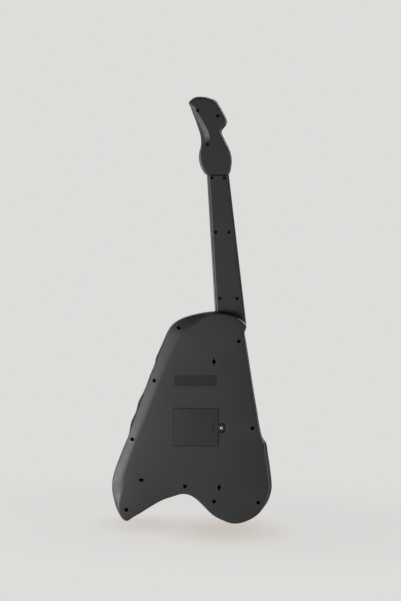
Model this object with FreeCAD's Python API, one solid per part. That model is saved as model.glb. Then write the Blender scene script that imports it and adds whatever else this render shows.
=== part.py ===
import FreeCAD, Part
import math, os

# Toy electric guitar, about 0.6 m tall, standing upright on the two lobes of its body.
# Row frame: +Z up, front of the guitar towards -Y, back towards +Y, origin under the middle
# of the object at floor level.
# Shapes in plan are written as (u, v): u runs left to right as seen from BEHIND the guitar,
# v runs up from the floor. Row X is U0 - u, row Z is v. Depths are row Y.

V = FreeCAD.Vector
OUT = "parts"
os.makedirs(OUT, exist_ok=True)

# ---------------------------------------------------------------- driving dimensions (mm)
U0 = 15.4              # plan u of the row's X = 0
DY = 2.0               # depths below are measured from a plane DY in front of the row's Y = 0
Y_BACK = 29.0          # flat back face of the body
Y_SHOULDER = 20.0      # where the back shell's straight side wall turns into the bevel
Y_PART = 7.0           # parting plane between body front and back shells
Y_FACE = -11.0         # front face of the body front shell and of the neck tray
Y_FRONT = -33.0        # furthest point forward, the whammy arm's grip
WALL = 2.4             # moulded wall
PLATE_T = 2.4          # front plate
TRIM_T = 1.0           # cream trim sheet under the front plate
Y_TRIM = Y_FACE - TRIM_T
Y_PLATE = Y_TRIM - PLATE_T
DOOR_TILT = 1.44       # battery door and label stand square to the toy, not to its two feet
NECK_TILT = 6.6        # lean of the neck's axis
BEVEL_WIDTHS = [(0, 13.0), (30, 14.5), (50, 15.4), (70, 13.4), (90, 12.4), (120, 11.8), (156, 13.2),
                (208, 13.4), (240, 14.6), (266, 16.0), (292, 14.0)]         # width of the long bevel on the back shell
BODY_HOLE_R = 2.75     # screw access holes in the body
NECK_HOLE_R = 2.3      # screw access holes in neck and headstock
SCREW_R = 1.25         # self-tapping screw shank
CLR = 0.2              # general moulded clearance

Y_NECK_PART = 2.0      # parting plane of the neck
Y_NECK_BACK = 13.0     # neck's back face
Y_HEAD_FACE = -9.0     # headstock front face
Y_HEAD_PART = 3.0
Y_HEAD_BACK = 15.5     # headstock's back face, proud of the neck
Y_FRETBOARD = -15.0    # fretboard's playing face

# plan outline of the body at its widest, clockwise from the notch beside the neck
BODY = [(83.6, 266.8), (86.6, 252.0), (92.3, 220.6), (98.4, 186.4), (104.6, 154.8), (110.4, 126.4),
        (113.2, 119.2), (117.8, 112.6), (119.8, 104.0), (122.3, 90.0), (124.7, 75.5), (126.8, 60.0),
        (127.3, 50.0), (126.1, 42.4), (123.6, 34.0), (119.9, 26.4), (114.5, 18.9), (107.7, 12.6),
        (99.6, 7.2), (90.6, 2.9), (83.2, 0.7), (76.5, 0.0), (69.6, 0.7), (60.6, 3.8), (51.2, 7.9),
        (43.0, 13.4), (35.5, 20.4), (28.0, 27.7), (19.7, 34.6), (12.5, 38.4), (5.7, 39.8), (-1.3, 39.1),
        (-9.0, 36.5), (-22.0, 31.3), (-33.3, 25.4), (-46.0, 17.8), (-58.0, 10.0), (-68.0, 3.7),
        (-75.0, 0.0), (-79.7, 2.2), (-83.4, 6.6), (-88.4, 15.3), (-92.8, 26.0), (-95.7, 37.7),
        (-96.5, 49.3), (-95.6, 59.0), (-92.9, 70.0), (-86.1, 89.8), (-78.8, 109.4), (-74.7, 120.7),
        (-73.5, 129.0), (-72.2, 136.3), (-69.7, 142.9), (-66.8, 149.3), (-64.7, 155.9), (-63.4, 162.6),
        (-61.1, 169.2), (-57.8, 175.5), (-52.5, 188.2), (-45.6, 208.0), (-40.9, 221.0), (-39.5, 228.0),
        (-37.0, 234.5), (-29.1, 253.8), (-23.9, 266.0), (-20.0, 272.6), (-15.0, 277.8), (-8.6, 282.1),
        (0.0, 286.2), (10.0, 289.5), (23.6, 292.9), (37.5, 295.1), (50.0, 295.5), (62.0, 293.7),
        (72.0, 289.8), (79.5, 284.6), (84.0, 280.3), (85.8, 277.0), (85.3, 273.2)]

# plan outline of the headstock, clockwise from its top left corner
HEAD = [(-1.9, 587.6), (2.0, 591.4), (8.0, 594.4), (14.5, 595.0), (22.9, 594.2), (30.2, 592.2),
        (35.6, 589.6), (39.0, 585.4), (43.6, 577.8), (47.4, 571.2), (50.3, 565.6), (51.2, 558.6),
        (47.5, 552.2), (44.5, 547.2), (46.1, 541.4), (49.3, 535.2), (52.6, 529.0), (55.9, 522.8),
        (58.2, 516.3), (59.5, 509.4), (59.6, 502.4), (58.7, 495.4), (57.2, 489.6), (54.6, 487.0),
        (49.0, 486.2), (38.0, 486.0), (29.0, 486.0), (24.6, 486.4), (21.9, 488.6), (18.5, 493.6),
        (15.6, 499.9), (14.0, 506.7), (13.6, 513.7), (14.7, 520.5), (16.1, 526.6), (16.2, 532.6),
        (15.2, 540.6), (13.0, 547.8), (10.6, 554.4), (5.4, 567.4), (2.6, 574.0), (0.2, 580.4)]

# neck edges, from where they leave the headstock to where they enter the body
NECK_TOP_L, NECK_TOP_R = (25.4, 486.0), (56.3, 486.0)
NECK_BOT_L, NECK_BOT_R = (41.7, 291.0), (85.7, 279.6)

# screws that hold the shells together
BODY_SCREWS = [(-8.5, 272.9), (75.8, 256.4), (-40.8, 198.2), (97.9, 135.5), (-69.4, 115.4),
               (5.7, 51.7), (47.0, 31.5), (108.5, 31.3), (-75.3, 16.6)]
NECK_SCREWS = [(32.2, 482.6), (49.8, 482.9), (39.4, 406.9), (58.3, 407.4), (47.9, 314.4), (71.8, 315.0)]
HEAD_SCREWS = [(10.3, 575.8), (38.7, 569.0), (25.5, 529.1)]
# slots in the back for the ties that hold the toy in its carton: centre and direction of the slit
TIE_SLOTS = [(41.9, 226.9, 90.0 + DOOR_TILT), (-55.5, 58.9, DOOR_TILT), (53.6, 51.0, 90.0 + DOOR_TILT)]
TIE_R, TIE_SLIT_W, TIE_SLIT_L = 2.6, 1.8, 10.0


# ---------------------------------------------------------------- helpers
def P(u, v, y=0.0):
    return V(U0 - u, y + DY, v)


def rot(a, b, deg):
    c, s = math.cos(math.radians(deg)), math.sin(math.radians(deg))
    return a * c - b * s, a * s + b * c


def closed_spline(pts, y, params=None):
    c = Part.BSplineCurve()
    q = [P(u, v, y) for u, v in pts]
    if params is None:
        c.interpolate(Points=q, PeriodicFlag=True)
    else:
        c.interpolate(Points=q, PeriodicFlag=True, Parameters=params)
    return c


def chord_params(pts):
    out = [0.0]
    n = len(pts)
    for i in range(n):
        a, b = pts[i], pts[(i + 1) % n]
        out.append(out[-1] + math.hypot(b[0] - a[0], b[1] - a[1]))
    return out


def inset(pts, params, dist):
    """Points moved inwards (the outline is clockwise as seen from behind) by dist(u, v)."""
    c = closed_spline(pts, 0.0, params)
    out = []
    for i, (u, v) in enumerate(pts):
        t = c.tangent(params[i])[0]
        tu, tv = -t.x, t.z
        nu, nv = tv, -tu          # right of travel is the inside of a clockwise outline
        d = dist(u, v) if callable(dist) else dist
        out.append((u + nu * d, v + nv * d))
    return out


def smooth01(x, a, b):
    t = min(1.0, max(0.0, (x - a) / (b - a)))
    return t * t * (3 - 2 * t)


def ring(pts, params, y):
    return Part.Wire([closed_spline(pts, y, params).toShape()])


def slab(pts, params, y0, y1):
    return Part.Face(ring(pts, params, y0)).extrude(V(0, y1 - y0, 0))


def prism(pts, y0, y1):
    w = Part.makePolygon([P(u, v, y0) for u, v in pts] + [P(pts[0][0], pts[0][1], y0)])
    return Part.Face(w).extrude(V(0, y1 - y0, 0))


def cyl(u, v, y0, y1, r):
    return Part.makeCylinder(r, y1 - y0, P(u, v, y0), V(0, 1, 0))


def cone(u, v, y0, y1, r0, r1):
    return Part.makeCone(r0, r1, y1 - y0, P(u, v, y0), V(0, 1, 0))


def rrect(u, v, w, h, y0, y1, deg=0.0, r=0.0):
    """Rounded rectangle w by h about (u, v), turned by deg, from y0 to y1."""
    def q(a, b):
        x, z = rot(a, b, deg)
        return P(u + x, v + z, y0)
    if r <= 0:
        w_ = Part.makePolygon([q(-w / 2, -h / 2), q(w / 2, -h / 2), q(w / 2, h / 2), q(-w / 2, h / 2), q(-w / 2, -h / 2)])
        return Part.Face(w_).extrude(V(0, y1 - y0, 0))
    k = r * (1 - math.sqrt(0.5))
    e = []
    X, Z = w / 2, h / 2
    corners = [(X, -Z, -1, 1), (X, Z, -1, -1), (-X, Z, 1, -1), (-X, -Z, 1, 1)]
    # start of straight runs
    pts = []
    for (x, z, sx, sz) in corners:
        pts.append(((x + sx * r, z), (x, z + sz * r), (x + sx * k, z + sz * k)))
    order = []
    a0, b0, m0 = pts[0]
    order = [(pts[0][0], pts[0][1], pts[0][2]), (pts[1][1], pts[1][0], pts[1][2]),
             (pts[2][0], pts[2][1], pts[2][2]), (pts[3][1], pts[3][0], pts[3][2])]
    for i in range(4):
        s, t, m = order[i]
        e.append(Part.Arc(q(*s), q(*m), q(*t)).toShape())
        nx = order[(i + 1) % 4][0]
        if math.hypot(nx[0] - t[0], nx[1] - t[1]) > 1e-6:
            e.append(Part.makeLine(q(*t), q(*nx)))
    return Part.Face(Part.Wire(e)).extrude(V(0, y1 - y0, 0))


def edges_at(shape, y, tol=1e-4):
    y += DY
    return [e for e in shape.Edges if abs(e.BoundBox.YMin - y) < tol and abs(e.BoundBox.YMax - y) < tol]


def fillet_at(shape, y, r):
    return shape.makeFillet(r, edges_at(shape, y))


def fuse(*s):
    s = [x for x in s if x is not None]
    out = s[0]
    if len(s) > 1:
        out = s[0].multiFuse(s[1:])
    return out


def cut(a, *b):
    return a.cut(list(b)) if len(b) > 1 else a.cut(b[0])


def save(name, shape):
    solids = shape.Solids
    assert solids, name
    bad = [s for s in solids if not s.isValid() or s.Volume <= 0]
    out = solids[0] if len(solids) == 1 else Part.makeCompound(solids)
    out.exportStep(os.path.join(OUT, name + ".step"))
    bb = out.BoundBox
    print("%-24s solids %2d  vol %9.1f  y %6.1f..%6.1f z %6.1f..%6.1f%s" % (
        name, len(solids), sum(s.Volume for s in solids), bb.YMin, bb.YMax, bb.ZMin, bb.ZMax,
        "  INVALID" if bad else ""))
    return out



def axis_u(v):
    """Plan u of the neck's centre line at height v."""
    return 41.1 + 0.1147 * (481.0 - v)


NA = NECK_TILT


def on_axis(s, a=0.0):
    """Point at distance s below the nut's edge along the neck's axis, a to the right of it."""
    du, dv = rot(a, -s, NA)
    return 40.75 + du, 484.0 + dv


def door_pt(a, b):
    """Point of the battery door's own axes in plan."""
    du, dv = rot(a, b, DOOR_TILT)
    return 19.7 + du, 134.9 + dv


def tube(points, r):
    """Round wire along straight runs joined by tangent arcs."""
    q = [P(*p) for p in points]
    edges = []
    start = q[0]
    radii = []
    for i in range(1, len(q) - 1):
        a, b, c = q[i - 1], q[i], q[i + 1]
        d1 = (b - a); l1 = d1.Length; d1.normalize()
        d2 = (c - b); l2 = d2.Length; d2.normalize()
        turn = d1.getAngle(d2)
        t = 0.45 * min(l1, l2)
        rad = t / math.tan(turn / 2)
        radii.append(rad)
        p1 = b - d1 * t
        p2 = b + d2 * t
        bis = (d2 - d1); bis.normalize()
        cen = b + bis * (rad / math.cos(turn / 2))
        mid = cen - bis * rad
        edges.append(Part.LineSegment(start, p1).toShape())
        edges.append(Part.Arc(p1, mid, p2).toShape())
        start = p2
    edges.append(Part.LineSegment(start, q[-1]).toShape())
    path = Part.Wire(edges)
    d0 = q[1] - q[0]
    prof = Part.Wire([Part.makeCircle(r, q[0], d0)])
    sh = path.makePipeShell([prof], True, False)
    if radii:
        print("   wire length %.1f radii %s  volume ratio %.4f" % (
            path.Length, [round(x, 1) for x in radii], sh.Volume / (math.pi * r * r * path.Length)))
    return sh


def cross_recess(u, v, y, depth, size, deg=20.0, sgn=-1):
    """Cross-shaped driver recess cut from the plane y into the head."""
    y0, y1 = (y - depth, y + 0.5) if sgn < 0 else (y - 0.5, y + depth)
    return fuse(rrect(u, v, size, size * 0.26, y0, y1, deg), rrect(u, v, size, size * 0.26, y0, y1, deg + 90))


def back_screw(u, v, y_seat, y_tip, head_r=2.5, head_h=1.9, shank_r=SCREW_R, deg=20.0):
    """Pan-head screw driven from behind: head above y_seat, shank to y_tip in front of it."""
    head = cyl(u, v, y_seat, y_seat + head_h, head_r)
    head = fillet_at(head, y_seat + head_h, head_h * 0.55)
    shank = cyl(u, v, y_tip + 0.9, y_seat, shank_r)
    tip = cone(u, v, y_tip, y_tip + 0.9, shank_r * 0.35, shank_r)
    return fuse(head, shank, tip).cut(cross_recess(u, v, y_seat + head_h, head_h * 0.65, head_r * 1.2, deg))


def front_screw(u, v, y_seat, y_tip, head_r=2.2, head_h=1.2, shank_r=1.0, deg=30.0):
    """Small screw driven from the front: head in front of y_seat, shank to y_tip behind it."""
    head = cyl(u, v, y_seat - head_h, y_seat, head_r)
    head = fillet_at(head, y_seat - head_h, head_h * 0.6)
    shank = cyl(u, v, y_seat, y_tip, shank_r)
    return fuse(head, shank).cut(cross_recess(u, v, y_seat - head_h, head_h * 0.65, head_r * 1.15, deg, 1))


# ---------------------------------------------------------------- layout on the front
PLATE = [(80.2, 256.0), (84.2, 233.0), (90.8, 196.0), (97.8, 158.0), (103.4, 129.0), (107.6, 117.6),
         (110.4, 105.0), (113.5, 86.0), (116.3, 66.0), (117.2, 52.0), (115.0, 40.0), (110.4, 30.0),
         (103.6, 21.6), (94.6, 15.6), (84.6, 12.4), (75.4, 12.0), (66.4, 14.2), (57.0, 18.8),
         (48.6, 25.4), (41.0, 33.4), (33.0, 41.0), (24.0, 47.2), (14.0, 51.0), (4.0, 51.8),
         (-6.0, 49.6), (-18.0, 45.2), (-30.0, 39.6), (-43.0, 32.0), (-56.0, 23.6), (-65.5, 17.8),
         (-72.0, 15.8), (-77.4, 19.6), (-81.2, 29.0), (-83.4, 40.0), (-83.8, 51.0), (-82.2, 63.0),
         (-78.0, 78.0), (-71.0, 97.0), (-63.5, 117.0), (-56.5, 136.0), (-50.0, 154.0), (-43.5, 172.0),
         (-36.5, 192.0), (-29.5, 211.0), (-22.6, 229.0), (-16.0, 245.0), (-11.2, 255.6), (-4.6, 265.0),
         (4.0, 271.4), (14.0, 274.8), (24.0, 274.6), (32.0, 270.8), (39.0, 267.6), (50.0, 267.6),
         (62.0, 268.4), (73.0, 268.6), (78.4, 264.0)]
SPEAKER = (-48.0, 74.0)
BUTTONS = [(-38.0, 148.0), (-28.0, 170.0), (-18.0, 192.0), (-8.0, 214.0)]
BUTTON_R = 6.5
PLAY = (12.0, 172.0)
PLAY_R = 11.0
BUTTON_TRAVEL = 1.4
LEDS = [(9.0, 203.0), (18.0, 195.0), (27.0, 187.0)]
LED_R = 2.4
KNOBS = [(80.0, 46.0), (50.0, 61.0)]
SWITCH = (101.0, 71.0)
SWITCH_TRAVEL = 6.0
PCB = (-5.0, 178.0)
PCB_W, PCB_H, PCB_DEG = 62.0, 96.0, -24.4
PCB_Y0, PCB_Y1 = -2.0, -0.4
PICKUPS = [215.0, 163.0]
BRIDGE_V = 96.0
ANCHOR_V = 261.0
WHAMMY_V, WHAMMY_OFF = 97.0, -31.0
WHAMMY_Y = -21.5
ARM_LEN = 88.0
KEY_SPACES = [2, 3, 4, 5, 6]
KEY_W, KEY_H = 20.0, 11.0
KEY_TRAVEL = 1.2
SCALE = 330.0
N_FRETS = 16
STRING_PITCH = 4.8
STRING_R = [0.38, 0.42, 0.46, 0.52, 0.58, 0.64]
PLATE_SCREWS = [(-74.5, 27.0), (-4.5, 256.5), (23.0, 268.0), (96.0, 142.0), (111.0, 54.0), (68.0, 19.0)]


def pcb_pt(a, b):
    du, dv = rot(a, b, PCB_DEG)
    return PCB[0] + du, PCB[1] + dv


PCB_POSTS = [pcb_pt(a, b) for a, b in ((-28, -28), (-28, 28), (28, -28), (28, 28))]


def fret_s(n):
    return SCALE * (1 - 2 ** (-n / 12.0))


# ---------------------------------------------------------------- body shells
bp = chord_params(BODY)


def d_back(u, v):
    """How far the back shell's side wall stands inside the front shell's outline."""
    left = 1.2 * smooth01(-u, 10, 30) * smooth01(v, 12, 40)
    if u < 0 and 109.0 < v < 266.5:
        plain = -77.9 + 0.3506 * (v - 109.4) - 0.9 * math.sin(math.pi * (v - 109.4) / 156.6)
        left = max(0.6, (plain - u) * 0.944)
    right = 3.4 * smooth01(u, 96, 112) * smooth01(v, 6, 40) * (1 - smooth01(v, 104, 124))
    upper = 0.8 * smooth01(u, 60, 80) * smooth01(v, 112, 130) * (1 - smooth01(v, 255, 266))
    return max(left, right, upper)


def d_bevel(u, v):
    """Width of the slope between the shell's side wall and its flat back face."""
    side = smooth01(-u + 0.37 * (v - 90) * 1.0, 18, 52) * smooth01(v, 6, 48)
    side *= 1 - smooth01(u, 0, 45) * smooth01(v, 240, 270)
    w = BEVEL_WIDTHS[-1][1]
    for (v0, w0), (v1, w1) in zip(BEVEL_WIDTHS, BEVEL_WIDTHS[1:]):
        if v <= v1:
            w = w0 + (w1 - w0) * max(0.0, (v - v0) / (v1 - v0))
            break
    return 2.2 + (w - 2.2) * side


back_out = inset(BODY, bp, d_back)
# (depth, share of the slope's width, rounding), from the side wall to the flat face
BAND = [(20.9, 0.04, 0.25), (22.4, 0.18, 0.5), (26.4, 0.68, 0.7), (27.7, 0.84, 1.0), (28.55, 0.945, 1.6),
        (28.9, 0.985, 2.3), (Y_BACK, 1.0, 3.0)]


def band(k, plus):
    return inset(back_out, bp, lambda u, v: (d_bevel(u, v) - 2.2) * k + plus)


back_outer = slab(back_out, bp, Y_PART, Y_SHOULDER).fuse(
    Part.makeLoft([ring(back_out, bp, Y_SHOULDER)] + [ring(band(k, p), bp, y) for y, k, p in BAND], True, True))
cav_low = inset(back_out, bp, WALL)
cav_top = band(0.8, 3.4)
back_cavity = slab(cav_low, bp, Y_PART - 1, Y_SHOULDER).fuse(
    Part.makeLoft([ring(cav_low, bp, Y_SHOULDER), ring(cav_top, bp, Y_BACK - WALL)], True, True))

heel_c = (axis_u(280.0), 280.0)
HEEL_W, HEEL_L = 24.0, 34.0
heel_window = rrect(heel_c[0], heel_c[1], HEEL_W + 0.5, HEEL_L + 0.5, -8.7, 10.3, NA)

posts = fuse(*[cyl(u, v, Y_PART, 27.5, 4.6) for u, v in BODY_SCREWS]).common(back_outer)
DSX, DSY = 34.95, -0.95      # door screw in the door's own axes
ds = (54.6, 134.6)
frame = rrect(*door_pt(0, 0), 68.0, 59.0, 24.2, 27.0, DOOR_TILT, 2.0)
door_post = cyl(ds[0], ds[1], 15.0, 26.5, 3.9)
saddle = rrect(heel_c[0], heel_c[1] - 6, 20.0, 2.0, 10.1, 27.0, NA).fuse(rrect(heel_c[0], heel_c[1] + 4, 20.0, 2.0, 10.1, 27.0, NA))
door_rect = rrect(*door_pt(0, 0), 62.7, 53.8, 26.6, 40.0, DOOR_TILT, 1.2).fuse(
    rrect(*door_pt(0, 0), 63.7, 54.8, 28.6, 40.0, DOOR_TILT, 1.6))
door_ear = cyl(ds[0], ds[1], 26.6, 40.0, 6.4).fuse(cone(ds[0], ds[1], 28.3, 29.0, 6.4, 7.1)).fuse(cyl(ds[0], ds[1], 29.0, 40.0, 7.1))
door_well = rrect(*door_pt(0, 0), 58.4, 49.6, 20.0, 30.0, DOOR_TILT, 1.0)
TABS = (-17.0, 17.0)
tab_notches = [rrect(*door_pt(-31.4, b), 5.4, 7.4, 24.0, 26.6, DOOR_TILT) for b in TABS]
ledge = frame.fuse(door_post)
back = back_outer.cut(back_cavity)
back = fuse(back, posts, ledge, saddle.common(back_outer))
cuts = [cyl(u, v, 12.5, 40.0, BODY_HOLE_R) for u, v in BODY_SCREWS]
cuts += [cyl(u, v, 6.0, 13.0, 1.6) for u, v in BODY_SCREWS]
cuts += [heel_window, door_rect, door_ear, door_well, cyl(ds[0], ds[1], 18.0, 30.0, 1.95)] + tab_notches
for u, v, deg in TIE_SLOTS:
    cuts += [cyl(u, v, 20.0, 40.0, TIE_R), rrect(u, v, TIE_SLIT_L, TIE_SLIT_W, 20.0, 40.0, deg, 0.7)]
LABEL = (16.9, 199.9)
cuts.append(rrect(LABEL[0], LABEL[1], 59.6, 15.5, 28.4, 40.0, DOOR_TILT, 1.0))
back = back.cut(cuts)
save("body_back_shell", back)
save("rating_label", rrect(LABEL[0], LABEL[1], 59.2, 15.1, 28.4, 28.8, DOOR_TILT, 0.8))

# front shell
RIM = 3.0


def d_rim(u, v):
    return 0.3 + 0.88 * d_back(u, v) * smooth01(u, 20, 60)


front_outer = fillet_at(slab(BODY, bp, Y_FACE, Y_PART - RIM), Y_FACE, 3.5).fuse(
    Part.makeLoft([ring(BODY, bp, Y_PART - RIM), ring(inset(BODY, bp, d_rim), bp, Y_PART)], True, True))
front_cavity = slab(inset(BODY, bp, WALL + 0.6), bp, Y_FACE + WALL, Y_PART + 1)
front_bosses = [cyl(u, v, Y_FACE + 1.5, Y_PART - 0.05, 3.6) for u, v in BODY_SCREWS]
front_bosses += [cyl(u, v, Y_FACE + 1.5, PCB_Y0, 3.0) for u, v in PCB_POSTS]
front = fuse(front_outer.cut(front_cavity), *[b.common(front_outer) for b in front_bosses])
cuts = [cyl(u, v, -5.0, 8.0, SCREW_R + 0.05) for u, v in BODY_SCREWS]
cuts += [cyl(u, v, -7.5, 0.0, 0.95) for u, v in PCB_POSTS]
cuts.append(cyl(SPEAKER[0], SPEAKER[1], -15.0, -5.0, 25.5))
cuts += [cyl(u, v, -15.0, -5.0, BUTTON_R + 0.3) for u, v in BUTTONS]
cuts.append(cyl(PLAY[0], PLAY[1], -15.0, -5.0, PLAY_R + 0.3))
cuts += [cyl(u, v, -15.0, -5.0, LED_R + 0.05) for u, v in LEDS]
cuts += [cyl(u, v, -15.0, -5.0, 4.2) for u, v in KNOBS]
cuts += [cyl(u, v, -15.0, -5.0, 1.05) for u, v in PLATE_SCREWS]
slot = rrect(SWITCH[0], SWITCH[1], 12.6, 4.8, -20.0, -5.0, 0, 0.6)
cuts += [slot, heel_window]
front = front.cut(cuts)
save("body_front_shell", front)

# front plate and the cream sheet under it
pp = chord_params(PLATE)
trim = slab(inset(PLATE, pp, -1.6), pp, Y_TRIM, Y_FACE)
plate = fillet_at(slab(PLATE, pp, Y_PLATE, Y_TRIM), Y_PLATE, 1.0)
cuts = [cyl(SPEAKER[0], SPEAKER[1], -20.0, -5.0, 26.6)]
cuts += [cyl(u, v, -20.0, -5.0, BUTTON_R + 0.3) for u, v in BUTTONS]
cuts.append(cyl(PLAY[0], PLAY[1], -20.0, -5.0, PLAY_R + 0.3))
cuts += [cyl(u, v, -20.0, -5.0, LED_R + 0.05) for u, v in LEDS]
cuts += [cyl(u, v, -20.0, -5.0, 4.2) for u, v in KNOBS]
cuts += [cyl(u, v, -20.0, -5.0, 1.05) for u, v in PLATE_SCREWS]
cuts.append(slot)
save("front_plate", plate.cut(cuts))
save("front_plate_trim", trim.cut(cuts))
save("plate_screws", Part.makeCompound([front_screw(u, v, Y_PLATE, -5.5, deg=17.0 * i) for i, (u, v) in enumerate(PLATE_SCREWS)]))

# ---------------------------------------------------------------- neck and headstock
body_block = slab(inset(BODY, bp, -0.15), bp, -20.0, 35.0)
hp = chord_params(HEAD)
head_block = slab(inset(HEAD, hp, -0.15), hp, -20.0, 35.0)


def neck_poly(ins, s0, s1, end=0.0):
    """Neck outline between s0 and s1 below the nut edge, its long edges moved in by ins."""
    def edge(a, b, s, side):
        # point of the line a-b whose distance below the nut is s
        dirv = (math.sin(math.radians(NA)), -math.cos(math.radians(NA)))
        sa = (a[0] - 40.75) * dirv[0] + (a[1] - 484.0) * dirv[1]
        sb = (b[0] - 40.75) * dirv[0] + (b[1] - 484.0) * dirv[1]
        t = (s - sa) / (sb - sa)
        x, z = a[0] + (b[0] - a[0]) * t, a[1] + (b[1] - a[1]) * t
        du, dv = rot(side * ins, 0.0, NA)
        return x + du, z + dv
    l0, l1 = edge(NECK_TOP_L, NECK_BOT_L, s0, 1), edge(NECK_TOP_L, NECK_BOT_L, s1, 1)
    r0, r1 = edge(NECK_TOP_R, NECK_BOT_R, s0, -1), edge(NECK_TOP_R, NECK_BOT_R, s1, -1)
    return [l0, r0, r1, l1]


tray = prism(neck_poly(0.0, -4.0, 225.0), Y_FACE, Y_NECK_PART)
tray = tray.makeChamfer(1.9, [e for e in edges_at(tray, Y_NECK_PART) if e.Length > 150])
# what lies to the right of the body below its upper corner is trimmed off
clip = prism([(76.0, 240.0), (104.0, 240.0), (104.0, 280.9), (76.0, 277.9)], -20.0, 35.0)
body_gap = slab(inset(BODY, bp, -0.3), bp, -20.0, 35.0)
tray = tray.cut(body_gap).cut(clip)
tray_cav = prism(neck_poly(4.4, -1.6, 225.0), Y_FACE + 2.2, Y_NECK_PART + 1)
head_tray = slab(HEAD, hp, Y_HEAD_FACE, Y_HEAD_PART)
head_tray = fillet_at(head_tray, Y_HEAD_FACE, 2.0)
head_cav = slab(inset(HEAD, hp, 2.4), hp, Y_HEAD_FACE + 2.2, Y_HEAD_PART + 1)
# the neck's own side walls stay inside the headstock's hollow
heel = rrect(heel_c[0], heel_c[1], HEEL_W, HEEL_L, -8.4, 10.0, NA)
end_wall = prism(neck_poly(2.4, 183.0, 225.0), Y_FACE + 1.0, Y_NECK_PART).cut(body_gap).cut(clip)
heel_bore = rrect(heel_c[0], heel_c[1] + 6, HEEL_W - 5.0, HEEL_L + 30, -5.9, 7.5, NA)
neck_bosses = [cyl(u, v, Y_FACE + 1.5, Y_NECK_PART - 0.05, 3.3) for u, v in NECK_SCREWS]
head_bosses = [cyl(u, v, Y_HEAD_FACE + 1.5, Y_HEAD_PART - 0.05, 3.3) for u, v in HEAD_SCREWS]
neck = fuse(tray.cut(tray_cav), head_tray.cut(head_cav), end_wall, heel, *neck_bosses, *head_bosses)
key_c = [on_axis(0.5 * (fret_s(n - 1) + fret_s(n))) for n in KEY_SPACES]
cuts = [heel_bore]
cuts += [cyl(u, v, -6.0, 8.0, SCREW_R + 0.05) for u, v in NECK_SCREWS + HEAD_SCREWS]
cuts += [rrect(u, v, 9.8, 7.8, -15.0, -5.0, NA, 0.8) for u, v in key_c]
neck = neck.cut(cuts)
save("neck_front_shell", neck)

cover = prism(neck_poly(2.9, -6.0, 225.0), Y_NECK_PART, Y_NECK_BACK)
long_edges = [e for e in edges_at(cover, Y_NECK_BACK) if e.Length > 150]
cover = cover.makeFillet(2.0, long_edges)
cover_cav = prism(neck_poly(5.2, 4.0, 196.0), Y_NECK_PART - 1, Y_NECK_BACK - 2.2)
cover = cover.cut(cover_cav)
neck_posts = fuse(*[cyl(u, v, Y_NECK_PART, Y_NECK_BACK - 1.0, 3.6) for u, v in NECK_SCREWS])
pcb_ribs = fuse(*[rrect(axis_u(v), v, 8.0, 1.6, 0.45, Y_NECK_BACK - 1.0, NA) for v in (365.0, 393.0, 425.0, 455.0)])
cover = fuse(cover, neck_posts.common(prism(neck_poly(3.6, -4.0, 196.0), Y_NECK_PART, Y_NECK_BACK - 0.5)), pcb_ribs)
cover = cover.cut(body_block).cut(clip)
cover = cover.cut([head_block, rrect(heel_c[0], heel_c[1], HEEL_W + 0.4, HEEL_L + 0.4, -9.0, 10.2, NA)]
                  + [cyl(u, v, 4.5, 30.0, NECK_HOLE_R) for u, v in NECK_SCREWS]
                  + [cyl(u, v, 0.0, 5.0, 1.6) for u, v in NECK_SCREWS])
save("neck_back_cover", cover)


def d_head_side(u, v):
    k = math.exp(-((u - 48.5) ** 2 + (v - 553.0) ** 2) / 60.0)
    return 0.7 + 1.6 * k


def d_head_bevel(u, v):
    mid = 33.0 - max(0.0, v - 530.0) * 0.25
    left = smooth01(mid - u, 4.0, 12.0)
    w = 0.6 + 8.4 * min(1.0, max(0.0, (586.0 - v) / 43.0))
    return w * left * smooth01(v, 521.0, 535.0)


head_out = inset(HEAD, hp, d_head_side)
HBAND = [(8.5, 0.26, 0.1), (9.2, 0.50, 0.2), (10.6, 0.74, 0.3), (12.6, 0.90, 0.5), (14.1, 0.97, 0.9), (15.0, 1.0, 1.5),
         (Y_HEAD_BACK, 1.0, 2.3)]


def hband(k, plus):
    return inset(head_out, hp, lambda u, v: d_head_bevel(u, v) * k + plus)


hc = slab(head_out, hp, Y_HEAD_PART, 8.0).fuse(
    Part.makeLoft([ring(head_out, hp, 8.0)] + [ring(hband(k, p), hp, y) for y, k, p in HBAND], True, True))
hcav = slab(hband(1.0, 2.6), hp, Y_HEAD_PART - 1, Y_HEAD_BACK - 2.2)
hposts = fuse(*[cyl(u, v, Y_HEAD_PART, 14.5, 3.6) for u, v in HEAD_SCREWS]).common(hc)
hc2 = fuse(hc.cut(hcav), hposts).cut([cyl(u, v, 6.0, 30.0, NECK_HOLE_R) for u, v in HEAD_SCREWS] + [cyl(u, v, 0.0, 9.0, 1.6) for u, v in HEAD_SCREWS])
save("headstock_back_cover", hc2)

save("body_screws", Part.makeCompound([back_screw(u, v, 12.5, -4.0, deg=23.0 * i) for i, (u, v) in enumerate(BODY_SCREWS)]))
save("small_screws", Part.makeCompound([back_screw(u, v, 4.5, -5.0, 2.1, 1.6, deg=31.0 * i) for i, (u, v) in enumerate(NECK_SCREWS)]
                                       + [back_screw(u, v, 6.0, -4.5, 2.1, 1.6, deg=41.0 * i) for i, (u, v) in enumerate(HEAD_SCREWS)]
                                       + [back_screw(u, v, PCB_Y1, -6.5, 2.1, 1.4, 0.9, deg=37.0 * i) for i, (u, v) in enumerate(PCB_POSTS)]))

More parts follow.
